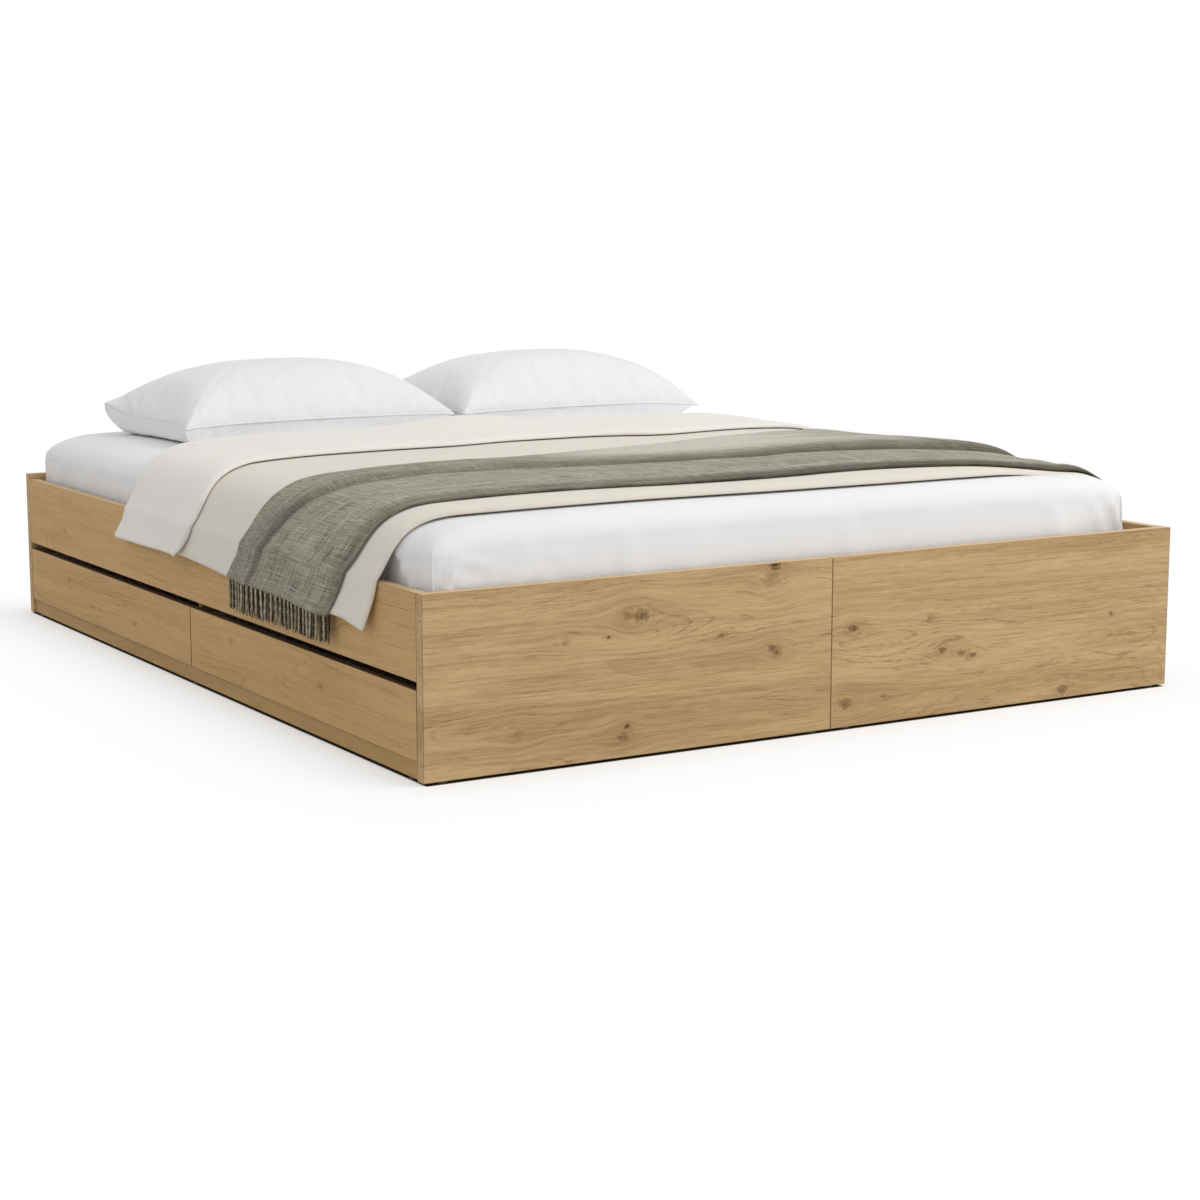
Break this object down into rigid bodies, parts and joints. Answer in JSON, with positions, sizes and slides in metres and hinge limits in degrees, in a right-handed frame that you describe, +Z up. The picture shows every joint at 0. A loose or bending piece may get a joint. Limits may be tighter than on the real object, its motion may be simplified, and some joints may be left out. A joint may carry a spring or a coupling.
{
  "type": "platform bed",
  "caption": "Low wooden platform bed with drawers in both sides, finger gaps for handles, and a mattress made up with pillows, a folded duvet and a fringed throw.",
  "frame": {"origin": "on the floor, in the middle of the bed's footprint", "axes": "+X across the bed to the right, seen from the foot; +Y from the foot to the head; +Z up"},
  "size_m": [1.7336, 2.05, 0.6064],
  "materials": {
    "oak_board": "matt laminate with a light knotty oak grain",
    "inner_board": "matt laminate, plain oak grain",
    "deck_wood": "planed pine, unfinished",
    "drawer_board": "white melamine-faced board",
    "drawer_bottom": "white-faced hardboard",
    "zinc_steel": "bright zinc plate",
    "ball_steel": "bright steel",
    "screw_steel": "zinc-plated",
    "black_plastic": "matt",
    "white_cotton": "smooth plain-woven cotton",
    "pillow_cotton": "smooth sateen cotton",
    "cream_cotton": "washed plain-woven cotton",
    "grey_weave": "coarse mottled wool-like weave"
  },
  "bodies": {
    "root": {"footboard_left": "oak_board", "footboard_right": "oak_board", "head_panel_left": "oak_board", "head_panel_right": "oak_board", "side_rail_left": "oak_board", "side_rail_right": "oak_board", "plinth_left": "oak_board", "plinth_right": "oak_board", "centre_spine": "inner_board", "partition_left": "inner_board", "partition_right": "inner_board", "foot_seam_batten": "inner_board", "head_seam_batten": "inner_board", "ledger_left": "deck_wood", "ledger_right": "deck_wood", "ledger_foot": "deck_wood", "ledger_head": "deck_wood", "deck_board_1": "deck_wood", "deck_board_2": "deck_wood", "deck_board_3": "deck_wood", "deck_board_4": "deck_wood", "corner_brackets": "zinc_steel", "bracket_screws": "screw_steel", "glide_feet": "black_plastic", "outer_runners": "zinc_steel", "mattress": "white_cotton", "pillow_left": "pillow_cotton", "pillow_right": "pillow_cotton", "duvet": "cream_cotton", "throw": "grey_weave"},
    "foot_left_drawer": {"foot_left_drawer_front": "oak_board", "foot_left_drawer_foot_side": "drawer_board", "foot_left_drawer_head_side": "drawer_board", "foot_left_drawer_back": "drawer_board", "foot_left_drawer_bottom": "drawer_bottom", "foot_left_drawer_inner_runners": "zinc_steel"},
    "foot_left_drawer_cages": {"foot_left_drawer_ball_cages": "ball_steel"},
    "head_left_drawer": {"head_left_drawer_front": "oak_board", "head_left_drawer_foot_side": "drawer_board", "head_left_drawer_head_side": "drawer_board", "head_left_drawer_back": "drawer_board", "head_left_drawer_bottom": "drawer_bottom", "head_left_drawer_inner_runners": "zinc_steel"},
    "head_left_drawer_cages": {"head_left_drawer_ball_cages": "ball_steel"},
    "foot_right_drawer": {"foot_right_drawer_front": "oak_board", "foot_right_drawer_foot_side": "drawer_board", "foot_right_drawer_head_side": "drawer_board", "foot_right_drawer_back": "drawer_board", "foot_right_drawer_bottom": "drawer_bottom", "foot_right_drawer_inner_runners": "zinc_steel"},
    "foot_right_drawer_cages": {"foot_right_drawer_ball_cages": "ball_steel"},
    "head_right_drawer": {"head_right_drawer_front": "oak_board", "head_right_drawer_foot_side": "drawer_board", "head_right_drawer_head_side": "drawer_board", "head_right_drawer_back": "drawer_board", "head_right_drawer_bottom": "drawer_bottom", "head_right_drawer_inner_runners": "zinc_steel"},
    "head_right_drawer_cages": {"head_right_drawer_ball_cages": "ball_steel"}
  },
  "joints": [
    {"name": "foot_left_drawer_slide", "type": "slide", "parent": "root", "child": "foot_left_drawer", "axis": [-1, 0, 0], "range_m": [0, 0.375]},
    {"name": "foot_left_drawer_cage_slide", "type": "slide", "parent": "root", "child": "foot_left_drawer_cages", "axis": [-1, 0, 0], "range_m": [0, 0.1875]},
    {"name": "head_left_drawer_slide", "type": "slide", "parent": "root", "child": "head_left_drawer", "axis": [-1, 0, 0], "range_m": [0, 0.375]},
    {"name": "head_left_drawer_cage_slide", "type": "slide", "parent": "root", "child": "head_left_drawer_cages", "axis": [-1, 0, 0], "range_m": [0, 0.1875]},
    {"name": "foot_right_drawer_slide", "type": "slide", "parent": "root", "child": "foot_right_drawer", "axis": [1, 0, 0], "range_m": [0, 0.375]},
    {"name": "foot_right_drawer_cage_slide", "type": "slide", "parent": "root", "child": "foot_right_drawer_cages", "axis": [1, 0, 0], "range_m": [0, 0.1875]},
    {"name": "head_right_drawer_slide", "type": "slide", "parent": "root", "child": "head_right_drawer", "axis": [1, 0, 0], "range_m": [0, 0.375]},
    {"name": "head_right_drawer_cage_slide", "type": "slide", "parent": "root", "child": "head_right_drawer_cages", "axis": [1, 0, 0], "range_m": [0, 0.1875]}
  ],
  "couplings": [
    {"joint": "foot_left_drawer_cage_slide", "follows": "foot_left_drawer_slide", "ratio": 0.5},
    {"joint": "head_left_drawer_cage_slide", "follows": "head_left_drawer_slide", "ratio": 0.5},
    {"joint": "foot_right_drawer_cage_slide", "follows": "foot_right_drawer_slide", "ratio": 0.5},
    {"joint": "head_right_drawer_cage_slide", "follows": "head_right_drawer_slide", "ratio": 0.5}
  ]
}
